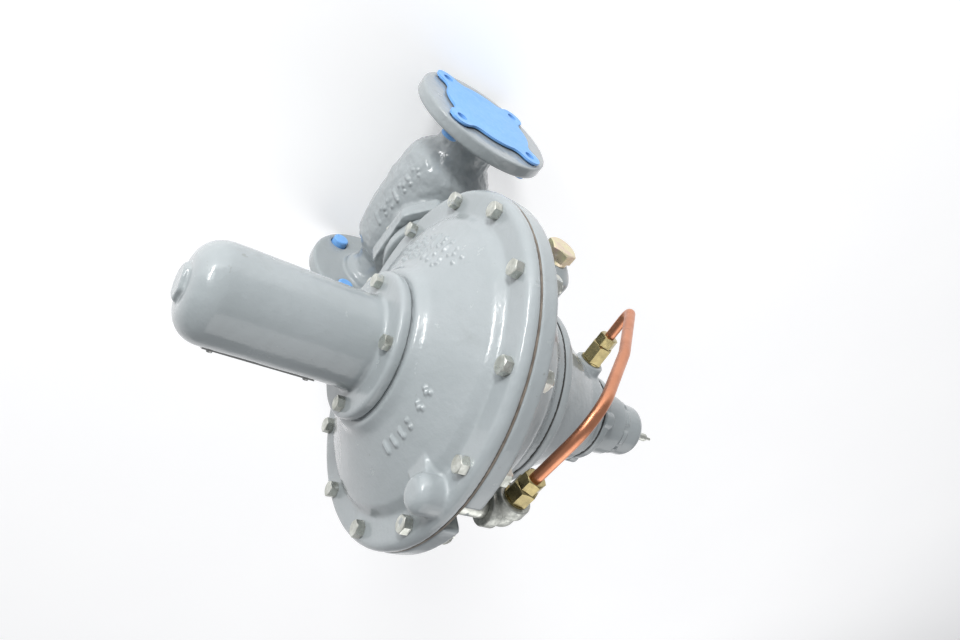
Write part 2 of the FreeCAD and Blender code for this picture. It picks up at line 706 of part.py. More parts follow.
def relay_case():
    start = RELAY_JOINT_Y + GASKET_T
    shell = casing_turned([
        (0, start, 0), (RELAY_R, start, 1), (RELAY_R, start + 8, 4), (74, start + 15, 6),
        (50, PILOT_JOINT_Y - 24, 12), (48, PILOT_JOINT_Y - 10, 4), (PILOT_FLANGE_R, PILOT_JOINT_Y - 7, 2),
        (PILOT_FLANGE_R, PILOT_JOINT_Y, 0), (0, PILOT_JOINT_Y, 0),
    ])
    boss = turned([(0, -40, 0), (20, -40, 0), (15, -12, 8), (14, 0, 1.5), (0, 0, 0)], RELAY_PORT, SIDE_OUT)
    solid = shell.fuse(boss)
    chamber = casing_turned([
        (0, start - 1, 0), (60, start - 1, 0), (60, start + 10, 8), (38, start + 40, 10), (0, start + 40, 0),
    ])
    pilot_chamber = casing_turned([
        (0, PILOT_JOINT_Y - 24, 0), (28, PILOT_JOINT_Y - 24, 3), (30, PILOT_JOINT_Y + 1, 0), (0, PILOT_JOINT_Y + 1, 0),
    ])
    orifice_bore = casing_turned([
        (0, start + 30, 0), (9.05, start + 30, 0), (9.05, PILOT_JOINT_Y - 15, 0), (0, PILOT_JOINT_Y - 15, 0),
    ])
    port_bore = cylinder(8.6, RELAY_PORT + SIDE_OUT, -SIDE_OUT, 50)
    solid = solid.cut([chamber, pilot_chamber, orifice_bore, port_bore])
    for angle in casing_angles(6, 0):
        solid = solid.cut(cylinder(2.55, on_casing(angle, 70, start - 1), Y_AXIS, 9))
    for angle in casing_angles(4, 45):
        solid = solid.cut(cylinder(2.05, on_casing(angle, PILOT_BOLT_CIRCLE_R, PILOT_JOINT_Y - 9), Y_AXIS, 10))
    return solid.removeSplitter()


def relay_gasket():
    ring = casing_turned([
        (14, RELAY_JOINT_Y, 0), (RELAY_R - 0.5, RELAY_JOINT_Y, 0),
        (RELAY_R - 0.5, RELAY_JOINT_Y + GASKET_T, 0), (14, RELAY_JOINT_Y + GASKET_T, 0),
    ])
    for angle in casing_angles(6, 0):
        ring = ring.cut(cylinder(3.2, on_casing(angle, 70, RELAY_JOINT_Y - 1), Y_AXIS, 3))
    return ring


def relay_case_screws():
    """Screws set from inside the bowl into the relay case."""
    screws = []
    for angle in casing_angles(6, 0):
        place = on_casing(angle, 70, 36)
        head = hexagon(8, place, -Y_AXIS, 4)
        screws.append(head.fuse(cylinder(2.5, place, Y_AXIS, 15)).removeSplitter())
    return screws


def pilot_orifice():
    start = RELAY_JOINT_Y + GASKET_T + 40
    end = PILOT_JOINT_Y - 24
    return casing_turned([
        (3, start - 6, 0.4), (9, start - 6, 0.5), (9, end, 0), (12, end, 0), (12, end + 3, 0.8), (5, end + 3, 0), (4, end + 5, 0.3), (3, end + 5, 0.3),
    ])


def pilot_plug():
    """Small valve that the pilot's diaphragm lifts off its orifice."""
    seat = PILOT_JOINT_Y - 19
    return casing_turned([
        (0, seat, 0), (7, seat, 0.5), (7, seat + 4, 1), (2.5, seat + 5, 0), (2.5, PILOT_JOINT_Y - 6, 0), (0, PILOT_JOINT_Y - 6, 0),
    ])


def pilot_diaphragm():
    half = 0.8
    middle = PILOT_JOINT_Y + half
    sheet = casing_turned([
        (3, middle - half, 0), (27, middle - half, 0), (27, middle + half, 0), (3, middle + half, 0),
    ])
    rim = casing_turned([
        (27, middle - half, 0), (PILOT_FLANGE_R - 0.4, middle - half, 0),
        (PILOT_FLANGE_R - 0.4, middle + half, 0), (27, middle + half, 0),
    ])
    sheet = sheet.fuse(rim).removeSplitter()
    for angle in casing_angles(4, 45):
        sheet = sheet.cut(cylinder(2.3, on_casing(angle, PILOT_BOLT_CIRCLE_R, PILOT_JOINT_Y - 1), Y_AXIS, 4))
    return sheet


def pilot_plate():
    start = PILOT_JOINT_Y + 1.6
    body = casing_turned([
        (0, start, 0), (22, start, 0), (22, start + 2, 1), (9, start + 2, 0), (9, start + 6, 1), (0, start + 6, 0),
    ])
    stud = casing_turned([(0, start - 6, 0), (2.95, start - 6, 0), (2.95, start, 0), (0, start, 0)])
    return body.fuse(stud).removeSplitter()


def pilot_spring():
    return coil(12, 1.25, PILOT_JOINT_Y + 3.7, PILOT_JOINT_Y + 27.8, 6)


def pilot_spring_seat():
    start = PILOT_JOINT_Y + 28
    return casing_turned([
        (0, start - 5, 0), (9.5, start - 5, 1), (9.5, start, 0), (18, start, 0), (18, start + 3, 1), (0, start + 3, 0),
    ])


def pilot_spring_case():
    """Lobed flange, spring chamber and threaded neck that the closing cap screws onto."""
    start = PILOT_JOINT_Y + 1.6
    shell = casing_turned([
        (0, start, 0), (PILOT_FLANGE_R, start, 0.5), (PILOT_FLANGE_R, start + 8, 2.5), (32, start + 10, 1),
        (30, CAP_SEAT_Y, 2.5), (22, CAP_SEAT_Y, 0), (22, CAP_SEAT_Y + 12, 1), (0, CAP_SEAT_Y + 12, 0),
    ])
    lobes = [
        cylinder(8.5, on_casing(angle, PILOT_BOLT_CIRCLE_R, start), Y_AXIS, 10) for angle in casing_angles(4, 45)
    ]
    solid = shell.fuse(lobes)
    chamber = casing_turned([
        (0, start - 1, 0), (26, start - 1, 0), (24, start + 12, 2), (19, start + 15, 2), (19, start + 36, 3), (0, start + 36, 0),
    ])
    screw_bore = casing_turned([(0, start + 30, 0), (6.05, start + 30, 0), (6.05, start + 60, 0), (0, start + 60, 0)])
    mouth = Vector(MID_X, start + 20, CASING_Z - 37)
    vent_boss = cylinder(10.5, mouth, Z_AXIS, 15)
    vent_thread = cylinder(VENT_PORT_R, mouth - Z_AXIS, Z_AXIS, VENT_PORT_DEPTH + 1)
    vent_way = cylinder(3, mouth, Z_AXIS, 25)
    solid = solid.fuse(vent_boss).cut([chamber, screw_bore, vent_thread, vent_way])
    for angle in casing_angles(4, 45):
        solid = solid.cut(cylinder(2.3, on_casing(angle, PILOT_BOLT_CIRCLE_R, start - 1), Y_AXIS, 12))
    return solid.removeSplitter()


def pilot_case_screws():
    screws = []
    for angle in casing_angles(4, 45):
        place = on_casing(angle, PILOT_BOLT_CIRCLE_R, PILOT_JOINT_Y + 11.6)
        head = cylinder(4, place, Y_AXIS, 3.2).cut(hexagon(3, place + Y_AXIS * 1.4, Y_AXIS, 3))
        screws.append(head.fuse(cylinder(2, place, -Y_AXIS, 19)).removeSplitter())
    return screws


def adjusting_screw():
    start = PILOT_JOINT_Y + 31
    rod = turned(
        [(0, 0, 0), (4, 0, 1), (6, 2, 0), (6, 34, 0.8), (0, 34, 0)], Vector(MID_X, start + 0.1, CASING_Z), Y_AXIS
    )
    slot = block((MID_X - 7, MID_X + 7), (start + 31, start + 35), (CASING_Z - 0.8, CASING_Z + 0.8))
    return rod.cut(slot)


def lock_nut():
    place = Vector(MID_X, CAP_SEAT_Y + 12.3, CASING_Z)
    return hexagon(19, place, Y_AXIS, 6).cut(cylinder(6.06, place - Y_AXIS, Y_AXIS, 8))


def closing_cap():
    start = CAP_SEAT_Y + 1.3
    solid = casing_turned([
        (0, start, 0), (CAP_R + 2, start, 1), (CAP_R + 2, start + 5, 1.5), (CAP_R, start + 7, 1), (CAP_R, CAP_END_Y, 11), (0, CAP_END_Y, 0),
    ])
    inside = casing_turned([
        (0, start - 1, 0), (22.1, start - 1, 0), (22.1, CAP_END_Y - 5, 6), (0, CAP_END_Y - 5, 0),
    ])
    grips = [
        cylinder(5, on_casing(angle, CAP_R + 4.5, start - 1), Y_AXIS, 8) for angle in casing_angles(8, 0)
    ]
    vent = cylinder(2.5, Vector(MID_X, CAP_END_Y - 8, CASING_Z), Y_AXIS, 10)
    return solid.cut([inside, vent] + grips)


def cap_gasket():
    start = CAP_SEAT_Y + 0.15
    return casing_turned([(22.3, start, 0), (27, start, 0), (27, start + 1, 0), (22.3, start + 1, 0)])


def cap_vent():
    """Small breather with a drip stem, pressed into the closing cap."""
    return casing_turned([
        (0, CAP_END_Y - 4.9, 0), (2.45, CAP_END_Y - 4.9, 0), (2.45, CAP_END_Y + 0.05, 0), (5.5, CAP_END_Y + 0.05, 0.5),
        (5.5, CAP_END_Y + 3, 0.5), (4, CAP_END_Y + 4, 0.5), (4, CAP_END_Y + 26, 1.5), (1.5, CAP_END_Y + 27, 0.3),
        (1.5, CAP_END_Y + 34, 0.8), (0, CAP_END_Y + 34, 0),
    ])


# ---------------------------------------------------------------- tube and fittings

def nipple():
    start = Vector(MID_X, PARTING_Y - 12, DOME_PORT_Z)
    return turned(
        [(5.5, 0, 0), (8.6, 0, 0.5), (8.6, 42, 0.5), (5.5, 42, 0)], start, Y_AXIS
    )


def street_elbow():
    """Malleable-iron elbow from the nipple's direction round to -X."""
    centre = Vector(MID_X, ELBOW_Y, DOME_PORT_Z)
    round_r = 11.5
    leg_y = cylinder(round_r, centre, -Y_AXIS, 12)
    leg_x = cylinder(round_r, centre, -X_AXIS, 10)
    ball = Part.makeSphere(round_r, centre)
    collar_y = turned([(0, 8, 0), (14, 8, 1), (14, 18, 1.5), (0, 18, 0)], centre, -Y_AXIS)
    collar_x = turned([(0, 8, 0), (14, 8, 1), (14, 18, 1.5), (0, 18, 0)], centre, -X_AXIS)
    solid = union(ball, leg_y, leg_x, collar_y, collar_x)
    bore_y = cylinder(8.6, centre - Y_AXIS * 7, -Y_AXIS, 13)
    bore_x = cylinder(8.6, centre - X_AXIS * 7, -X_AXIS, 13)
    way_y = cylinder(6, centre, -Y_AXIS, 13)
    way_x = cylinder(6, centre, -X_AXIS, 13)
    hollow = Part.makeSphere(6, centre)
    return solid.cut([bore_y, bore_x, way_y, way_x, hollow])


def connector(place, direction, body_t):
    """Hexagonal brass body with a pipe thread on one side and the tube nut's thread on the other."""
    stem = cylinder(8.5, place - direction * 9, direction, 10)
    washer = cylinder(10.5, place, direction, 1.5)
    hexes = hexagon(CONNECTOR_AF, place + direction * 1.5, direction, body_t - 1.5, 20)
    nose = cylinder(NOSE_R, place + direction * (body_t - 0.5), direction, 6)
    solid = union(stem, washer, hexes, nose)
    way = cylinder(3.7, place - direction * 10, direction, 60)
    seat = cylinder(TUBE_R + 0.02, place + direction * (body_t + 1), direction, 10)
    return solid.cut([way, seat])


def tube_nut(place, direction, body_t):
    start = place + direction * (body_t + 0.3)
    nut = hexagon(TUBE_NUT_AF, start, direction, TUBE_NUT_T, 5)
    bore = cylinder(NOSE_R + 0.05, start - direction, direction, 7)
    way = cylinder(TUBE_R + 0.05, start, direction, TUBE_NUT_T + 2)
    return nut.cut([bore, way])


def lower_port():
    return Vector(MID_X - 18.2, ELBOW_Y, DOME_PORT_Z)


def upper_port():
    return RELAY_PORT + SIDE_OUT * 0.2


def bent_path(points, radii):
    """Open wire of straight runs joined by tangent arcs."""
    edges = []
    last = points[0]
    for before, corner, after, radius in zip(points, points[1:], points[2:], radii):
        back = (before - corner).normalize()
        ahead = (after - corner).normalize()
        half = back.getAngle(ahead) / 2
        reach = radius / math.tan(half)
        inward = (back + ahead).normalize()
        middle = corner + inward * (radius / math.sin(half) - radius)
        edges.append(Part.LineSegment(last, corner + back * reach).toShape())
        last = corner + ahead * reach
        edges.append(Part.Arc(corner + back * reach, middle, last).toShape())
    edges.append(Part.LineSegment(last, points[-1]).toShape())
    return Part.Wire(edges)


def copper_tube():
    start = lower_port() - X_AXIS * (LOWER_BODY_T + 1.2)
    end = upper_port() + SIDE_OUT * (UPPER_BODY_T + 1.2)
    points = [
        start,
        Vector(12, ELBOW_Y, DOME_PORT_Z),
        Vector(6, 62, 322),
        end + SIDE_OUT * 41,
        end,
    ]
    path = bent_path(points, [34, 70, 11])
    outer = Part.Wire(Part.makeCircle(TUBE_R, start, -X_AXIS))
    inner = Part.Wire(Part.makeCircle(TUBE_R - 1, start, -X_AXIS))
    return path.makePipeShell([outer], True, True).cut(path.makePipeShell([inner], True, True))


def hex_plug():
    collar = cylinder(12, PLUG_PORT, -X_AXIS, 3.5)
    head = hexagon(PLUG_AF, PLUG_PORT - X_AXIS * 3, -X_AXIS, 10, PLUG_TURN)
    shank = cylinder(9.15, PLUG_PORT + X_AXIS * 14, -X_AXIS, 15)
    return union(head, collar, shank)


# ---------------------------------------------------------------- shipping covers

def lobed_face(origin):
    """Flat outline of a cover: a disc that runs in smooth hollows into an ear at each bolt hole."""
    centre_distance = COVER_R + COVER_HOLLOW_R
    ear_distance = EAR_R + COVER_HOLLOW_R
    cosine = (centre_distance ** 2 + BOLT_CIRCLE_R ** 2 - ear_distance ** 2) / (2 * centre_distance * BOLT_CIRCLE_R)
    hollow_turn = math.acos(cosine)

    def at(radius, turn):
        return Vector(0, radius * math.cos(turn), radius * math.sin(turn))

    edges = []
    for i in range(4):
        turn = math.radians(45 + 90 * i)
        ear = at(BOLT_CIRCLE_R, turn)
        marks = []
        for side in (-1, 1):
            hollow = at(centre_distance, turn + side * hollow_turn)
            on_ear = ear + (hollow - ear).normalize() * EAR_R
            on_disc = at(COVER_R, turn + side * hollow_turn)
            between = hollow + ((on_ear + on_disc) * 0.5 - hollow).normalize() * COVER_HOLLOW_R
            marks.append((on_disc, between, on_ear))
        before, after = marks
        edges.append(Part.Arc(before[0], before[1], before[2]).toShape())
        edges.append(Part.Arc(before[2], at(BOLT_CIRCLE_R + EAR_R, turn), after[2]).toShape())
        edges.append(Part.Arc(after[2], after[1], after[0]).toShape())
        following = turn + math.radians(90) - hollow_turn
        middle = at(COVER_R, turn + math.radians(45))
        edges.append(Part.Arc(after[0], middle, at(COVER_R, following)).toShape())
    outline = Part.Wire(Part.__sortEdges__(edges))
    outline.translate(origin)
    return Part.Face(outline)


def flange_cover(face_x, direction):
    """Plastic cover on a flange face, with a hollow peg in each bolt hole. `direction` points away."""
    face = Vector(face_x, 0, 0)
    inner = face + direction * 0.1
    plate = lobed_face(inner).extrude(direction * COVER_T)
    peg_start = inner + Vector(0, BOLT_CIRCLE_R, 0) + direction * COVER_T
    peg_length = COVER_T + FLANGE_T + 7
    peg = turned([(0, 0, 0), (PEG_R, 0, 0), (PEG_R - 0.4, peg_length, 2), (0, peg_length, 0)], peg_start, -direction)
    dimple = turned([(0, -1, 0), (PEG_R - 3.5, -1, 0), (PEG_R - 4.5, 15, 2), (0, 15, 0)], peg_start, -direction)
    solid = plate.fuse(around(peg, 4, face, X_AXIS, 45))
    solid = solid.cut(around(dimple, 4, face, X_AXIS, 45))
    return solid.removeSplitter()


NODES = {
    "valve_body": valve_body,
    "orifice_ring": orifice_ring,
    "body_gasket": body_gasket,
    "body_cap_screws": body_cap_screws,
    "disc_holder": disc_holder,
    "valve_disc": valve_disc,
    "disc_screw": disc_screw,
    "valve_stem": valve_stem,
    "stem_guide": stem_guide,
    "stem_o_ring": stem_o_ring,
    "rear_casing": rear_casing,
    "front_casing": front_casing,
    "casing_bolts": casing_bolts,
    "casing_nuts": casing_nuts,
    "main_diaphragm": main_diaphragm,
    "rear_plate": rear_plate,
    "front_plate": front_plate,
    "pusher_post": pusher_post,
    "post_nut": post_nut,
    "main_spring": main_spring,
    "spring_button": spring_button,
    "lever": lever,
    "lever_pin": lever_pin,
    "lever_top_pin": lever_top_pin,
    "spring_case": spring_case,
    "spring_case_gasket": spring_case_gasket,
    "spring_case_screws": spring_case_screws,
    "nameplate": nameplate,
    "nameplate_rivets": nameplate_rivets,
    "relay_case": relay_case,
    "relay_gasket": relay_gasket,
    "relay_case_screws": relay_case_screws,
    "pilot_orifice": pilot_orifice,
    "pilot_plug": pilot_plug,
    "pilot_diaphragm": pilot_diaphragm,
    "pilot_plate": pilot_plate,
    "pilot_spring": pilot_spring,
    "pilot_spring_seat": pilot_spring_seat,
    "pilot_spring_case": pilot_spring_case,
    "pilot_case_screws": pilot_case_screws,
    "adjusting_screw": adjusting_screw,
    "lock_nut": lock_nut,
    "closing_cap": closing_cap,
    "cap_gasket": cap_gasket,
    "cap_vent": cap_vent,
    "nipple": nipple,
    "street_elbow": street_elbow,
    "lower_connector": lambda: connector(lower_port(), -X_AXIS, LOWER_BODY_T),
    "lower_tube_nut": lambda: tube_nut(lower_port(), -X_AXIS, LOWER_BODY_T),
    "upper_connector": lambda: connector(upper_port(), SIDE_OUT, UPPER_BODY_T),
    "upper_tube_nut": lambda: tube_nut(upper_port(), SIDE_OUT, UPPER_BODY_T),
    "copper_tube": copper_tube,
    "hex_plug": hex_plug,
    "inlet_cover": lambda: flange_cover(0, -X_AXIS),
    "outlet_cover": lambda: flange_cover(FACE_TO_FACE, X_AXIS),
}


def main():
    os.makedirs("parts", exist_ok=True)
    for name, make in NODES.items():
        result = make()
        shape = Part.makeCompound(result) if isinstance(result, list) else result
        print(name, len(shape.Solids), shape.isValid(), round(shape.Volume))
        shape.exportStep("parts/" + name + ".step")


main()
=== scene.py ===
"""Looks for a flanged gas pressure regulator with a pilot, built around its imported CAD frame.

Metres, in the frame of the CAD part: +X along the pipe, +Z from the pipe up to the diaphragm
casing, -Y along the spring case. Painted castings are rebuilt from their CAD nodes as rounded,
slightly uneven castings. The other nodes stay and get procedural materials.
"""
import json
import math

import bmesh
import bpy
import numpy as np
from mathutils import Matrix, Vector, noise


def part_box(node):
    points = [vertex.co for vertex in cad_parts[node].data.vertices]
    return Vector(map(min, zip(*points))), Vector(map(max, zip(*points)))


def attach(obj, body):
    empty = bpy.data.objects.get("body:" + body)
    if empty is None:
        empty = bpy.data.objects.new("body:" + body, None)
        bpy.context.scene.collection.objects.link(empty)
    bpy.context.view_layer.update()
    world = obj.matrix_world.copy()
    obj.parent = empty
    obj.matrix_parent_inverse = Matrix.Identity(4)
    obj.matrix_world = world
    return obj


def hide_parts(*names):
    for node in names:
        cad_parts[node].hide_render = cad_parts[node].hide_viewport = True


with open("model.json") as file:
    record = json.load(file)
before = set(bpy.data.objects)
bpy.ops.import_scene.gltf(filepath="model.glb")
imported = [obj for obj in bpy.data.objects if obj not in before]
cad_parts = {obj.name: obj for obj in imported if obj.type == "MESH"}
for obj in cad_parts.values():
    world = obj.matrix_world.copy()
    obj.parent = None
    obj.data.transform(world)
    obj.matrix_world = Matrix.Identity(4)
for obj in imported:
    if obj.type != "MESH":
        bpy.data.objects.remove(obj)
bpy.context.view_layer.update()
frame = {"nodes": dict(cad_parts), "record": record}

NODES = frame["nodes"]
BODY_OF = {node: body for body, nodes in frame["record"]["behaviour"]["bodies"].items() for node in nodes}

# Places worked out from the frame
CASING_LOW, CASING_HIGH = (Vector(corner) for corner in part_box("front_casing"))
BODY_LOW, BODY_HIGH = (Vector(corner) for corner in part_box("valve_body"))
AXIS_X = (CASING_LOW.x + CASING_HIGH.x) / 2
AXIS_Z = (CASING_LOW.z + CASING_HIGH.z) / 2
FLOOR_Z = BODY_LOW.z - 0.0003

# Sizes in metres, and shares
FLANGE_ROOM = 0.020
MACHINED_SHARE = 0.12
WELD_DISTANCE = 1e-6
FINE_DEPTH_SHARE = 0.3
FINE_SIZE_SHARE = 0.38
FINE_SEED_STEP = 20
SHARP_ANGLE = math.radians(32)
FLOOR_HALF = 40.0
LIGHT_TARGET = Vector((AXIS_X, -0.02, 0.17))
LIGHT_UP = Vector((-0.66, -0.31, -0.68))

# What lies on the paint and the plating
OVERSPRAY = (0.29, 0.315, 0.32)
GRIME = (0.12, 0.115, 0.09)


# ---------------------------------------------------------------- camera

def make_camera():
    """A camera above the spring case's side, rolled so that the pipe end points upwards."""
    place = Vector((-0.2181, -0.3243, 0.6959))
    right = Vector((-0.60217, 0.76013, 0.2441))
    up = Vector((-0.66361, -0.30658, -0.68237))
    back = right.cross(up)
    data = bpy.data.cameras.new("camera")
    data.sensor_width = 36.0
    data.lens = 27.237
    data.shift_x = -0.0622
    data.shift_y = 0.0191
    data.clip_start = 0.01
    data.clip_end = 500.0
    camera = bpy.data.objects.new("camera", data)
    camera.matrix_world = Matrix.Translation(place) @ Matrix((right, up, back)).transposed().to_4x4()
    bpy.context.collection.objects.link(camera)
    bpy.context.scene.camera = camera


make_camera()


# ---------------------------------------------------------------- material helpers

class Shader:
    """Small builder for a procedural material around one Principled BSDF, in object coordinates."""

    def __init__(self, name, color, roughness, metallic=0.0, **sockets):
        self.material = bpy.data.materials.new(name)
        self.material.use_nodes = True
        self.material.diffuse_color = (*color, 1.0)
        self.tree = self.material.node_tree
        self.bsdf = self.tree.nodes["Principled BSDF"]
        self.coordinates = self.tree.nodes.new("ShaderNodeTexCoord").outputs["Object"]
        self.set("Base Color", (*color, 1.0))
        self.set("Roughness", roughness)
        self.set("Metallic", metallic)
        for socket, value in sockets.items():
            self.set(socket.replace("_", " "), value)

    def set(self, socket, value):
        self.bsdf.inputs[socket].default_value = value

    def link(self, output, socket):
        self.tree.links.new(output, self.bsdf.inputs[socket])

    def noise(self, scale, detail=3.0, roughness=0.55, stretch=(1.0, 1.0, 1.0)):
        """Noise with features about 1/scale metres across."""
        node = self.tree.nodes.new("ShaderNodeTexNoise")
        node.inputs["Scale"].default_value = scale
        node.inputs["Detail"].default_value = detail
        node.inputs["Roughness"].default_value = roughness
        mapping = self.tree.nodes.new("ShaderNodeMapping")
        mapping.inputs["Scale"].default_value = stretch
        self.tree.links.new(self.coordinates, mapping.inputs["Vector"])
        self.tree.links.new(mapping.outputs["Vector"], node.inputs["Vector"])
        return node.outputs["Fac"]

    def cells(self, scale):
        """Distance to the nearest cell centre, for a pebbled grain."""
        node = self.tree.nodes.new("ShaderNodeTexVoronoi")
        node.inputs["Scale"].default_value = scale
        self.tree.links.new(self.coordinates, node.inputs["Vector"])
        return node.outputs["Distance"]

    def ramp(self, value, low, high, low_value=0.0, high_value=1.0):
        """The value's range from low to high, stretched to another range and clamped."""
        node = self.tree.nodes.new("ShaderNodeMapRange")
        node.inputs["From Min"].default_value = low
        node.inputs["From Max"].default_value = high
        node.inputs["To Min"].default_value = low_value
        node.inputs["To Max"].default_value = high_value
        self.tree.links.new(value, node.inputs["Value"])
        return node.outputs["Result"]

    def mix(self, factor, first, second):
        """Colour between two colours or colour outputs."""
        node = self.tree.nodes.new("ShaderNodeMix")
        node.data_type = "RGBA"
        for socket, value in (("Factor", factor), ("A", first), ("B", second)):
            target = [item for item in node.inputs if item.name == socket and item.enabled][0]
            if isinstance(value, bpy.types.NodeSocket):
                self.tree.links.new(value, target)
            else:
                target.default_value = value if socket == "Factor" else (*value, 1.0)
        return [item for item in node.outputs if item.enabled][0]

    def blend(self, kind, first, second):
        """Arithmetic on two numbers or number outputs."""
        node = self.tree.nodes.new("ShaderNodeMath")
        node.operation = kind
        for target, value in zip(node.inputs, (first, second)):
            if isinstance(value, bpy.types.NodeSocket):
                self.tree.links.new(value, target)
            else:
                target.default_value = value
        return node.outputs[0]

    def bump(self, *layers):
        """Chain of bump nodes from (height, distance in metres, strength) layers."""
        normal = None
        for height, distance, strength in layers:
            node = self.tree.nodes.new("ShaderNodeBump")
            node.inputs["Distance"].default_value = distance
            node.inputs["Strength"].default_value = strength
            self.tree.links.new(height, node.inputs["Height"])
            if normal is not None:
                self.tree.links.new(normal, node.inputs["Normal"])
            normal = node.outputs["Normal"]
        self.link(normal, "Normal")


def enamel(name, cast_depth):
    """Glossy light grey enamel, with orange peel, faint dirt and a cast surface below."""
    shader = Shader(name, (0.285, 0.312, 0.322), 0.24, Coat_Weight=0.5, Coat_Roughness=0.06)
    patches = shader.noise(14, 4)
    dust = shader.noise(55, 5, 0.7)
    tone = shader.mix(shader.ramp(patches, 0.35, 0.7), (0.262, 0.290, 0.298), (0.292, 0.320, 0.330))
    specks = shader.ramp(shader.noise(150, 3), 0.70, 0.77)
    smudges = shader.ramp(shader.noise(22, 5, 0.65), 0.62, 0.76)
    faint_specks = shader.blend("MULTIPLY", specks, 0.30)
    faint_smudges = shader.blend("MULTIPLY", smudges, 0.16)
    dirt = shader.blend("MAXIMUM", faint_specks, faint_smudges)
    shader.link(shader.mix(dirt, tone, GRIME), "Base Color")
    shader.link(shader.ramp(dust, 0.3, 0.8, 0.20, 0.30), "Roughness")
    shader.bump(
        (shader.noise(75, 3), cast_depth, 0.55),
        (shader.noise(260, 2), 0.0005, 0.30),
        (shader.cells(620), 0.00025, 0.10),
    )
    return shader.material


def plated(name, color, tint, paint_share):
    """Plated steel with thin overspray of grey paint in places."""
    shader = Shader(name, color, 0.32, 0.9)
    grain = shader.noise(900, 2, stretch=(1, 1, 0.15))
    patches = shader.noise(120, 3)
    paint = shader.ramp(shader.noise(95, 4), 0.62 - paint_share, 0.70 - paint_share)
    metal = shader.mix(shader.ramp(patches, 0.35, 0.7), color, tint)
    shader.link(shader.mix(paint, metal, OVERSPRAY), "Base Color")
    shader.link(shader.ramp(paint, 0.0, 1.0, 0.92, 0.05), "Metallic")
    shader.link(shader.ramp(shader.noise(330, 3), 0.3, 0.75, 0.24, 0.46), "Roughness")
    shader.bump((grain, 0.0002, 0.25), (paint, 0.0002, 0.35), (shader.noise(420, 3), 0.0003, 0.3))
    return shader.material


def machined(name, color, tint, roughness, stretch):
    """Turned or drawn metal: fine lines one way and a little dulling."""
    shader = Shader(name, color, roughness, 1.0)
    dull = shader.noise(60, 4)
    shader.link(shader.mix(shader.ramp(dull, 0.35, 0.7), color, tint), "Base Color")
    low, high = roughness - 0.08, roughness + 0.14
    shader.link(shader.ramp(shader.noise(240, 4), 0.3, 0.75, low, high), "Roughness")
    shader.bump((shader.noise(1500, 2, stretch=stretch), 0.00008, 0.35), (shader.noise(90, 3), 0.0004, 0.12))
    return shader.material


def copper_tube_metal():
    """Drawn copper: warm, slightly dulled, with darker handling marks."""
    shader = Shader("copper", (0.70, 0.30, 0.17), 0.34, 1.0)
    dull = shader.ramp(shader.noise(38, 4, 0.6), 0.32, 0.68)
    marks = shader.ramp(shader.noise(120, 5, 0.7), 0.60, 0.72)
    tone = shader.mix(dull, (0.74, 0.33, 0.19), (0.62, 0.26, 0.145))
    shader.link(shader.mix(shader.blend("MULTIPLY", marks, 0.5), tone, (0.42, 0.20, 0.13)), "Base Color")
    shader.link(shader.ramp(shader.noise(160, 4), 0.3, 0.75, 0.27, 0.42), "Roughness")
    shader.bump((shader.noise(420, 3), 0.00015, 0.3), (shader.noise(60, 2), 0.0006, 0.12))
    return shader.material


def galvanised_iron():
    """Cast malleable iron with a dull, mottled zinc coat."""
    shader = Shader("galvanised_iron", (0.46, 0.47, 0.44), 0.42, 0.75)
    grain = shader.noise(170, 5, 0.65)
    tone = shader.mix(shader.ramp(grain, 0.35, 0.68), (0.27, 0.28, 0.26), (0.62, 0.63, 0.58))
    shader.link(tone, "Base Color")
    shader.link(shader.ramp(shader.noise(300, 3), 0.3, 0.75, 0.30, 0.58), "Roughness")
    shader.bump((shader.noise(240, 4), 0.0006, 0.5), (shader.cells(700), 0.0003, 0.25))
    return shader.material


def rubber(name, color, roughness):
    """Matt rubber or gasket sheet, dusty in places, with a fine grain."""
    shader = Shader(name, color, roughness)
    lighter = tuple(min(1.0, channel * 1.7 + 0.01) for channel in color)
    shader.link(shader.mix(shader.ramp(shader.noise(130, 4), 0.35, 0.75), color, lighter), "Base Color")
    shader.bump((shader.noise(900, 3), 0.0002, 0.4))
    return shader.material


def moulded_plastic():
    """Light blue polyethylene: waxy, with faint flow marks and a fine matt grain."""
    shader = Shader("blue_plastic", (0.16, 0.37, 0.72), 0.42, Subsurface_Weight=0.12)
    shader.set("Subsurface Radius", (0.002, 0.004, 0.006))
    flow = shader.ramp(shader.noise(24, 3, stretch=(1, 1, 2.5)), 0.3, 0.7)
    shader.link(shader.mix(flow, (0.150, 0.355, 0.70), (0.175, 0.390, 0.75)), "Base Color")
    shader.link(shader.ramp(shader.noise(220, 3), 0.3, 0.75, 0.34, 0.52), "Roughness")
    shader.bump((shader.noise(1300, 2), 0.0001, 0.3), (shader.noise(35, 2), 0.0006, 0.12))
    return shader.material


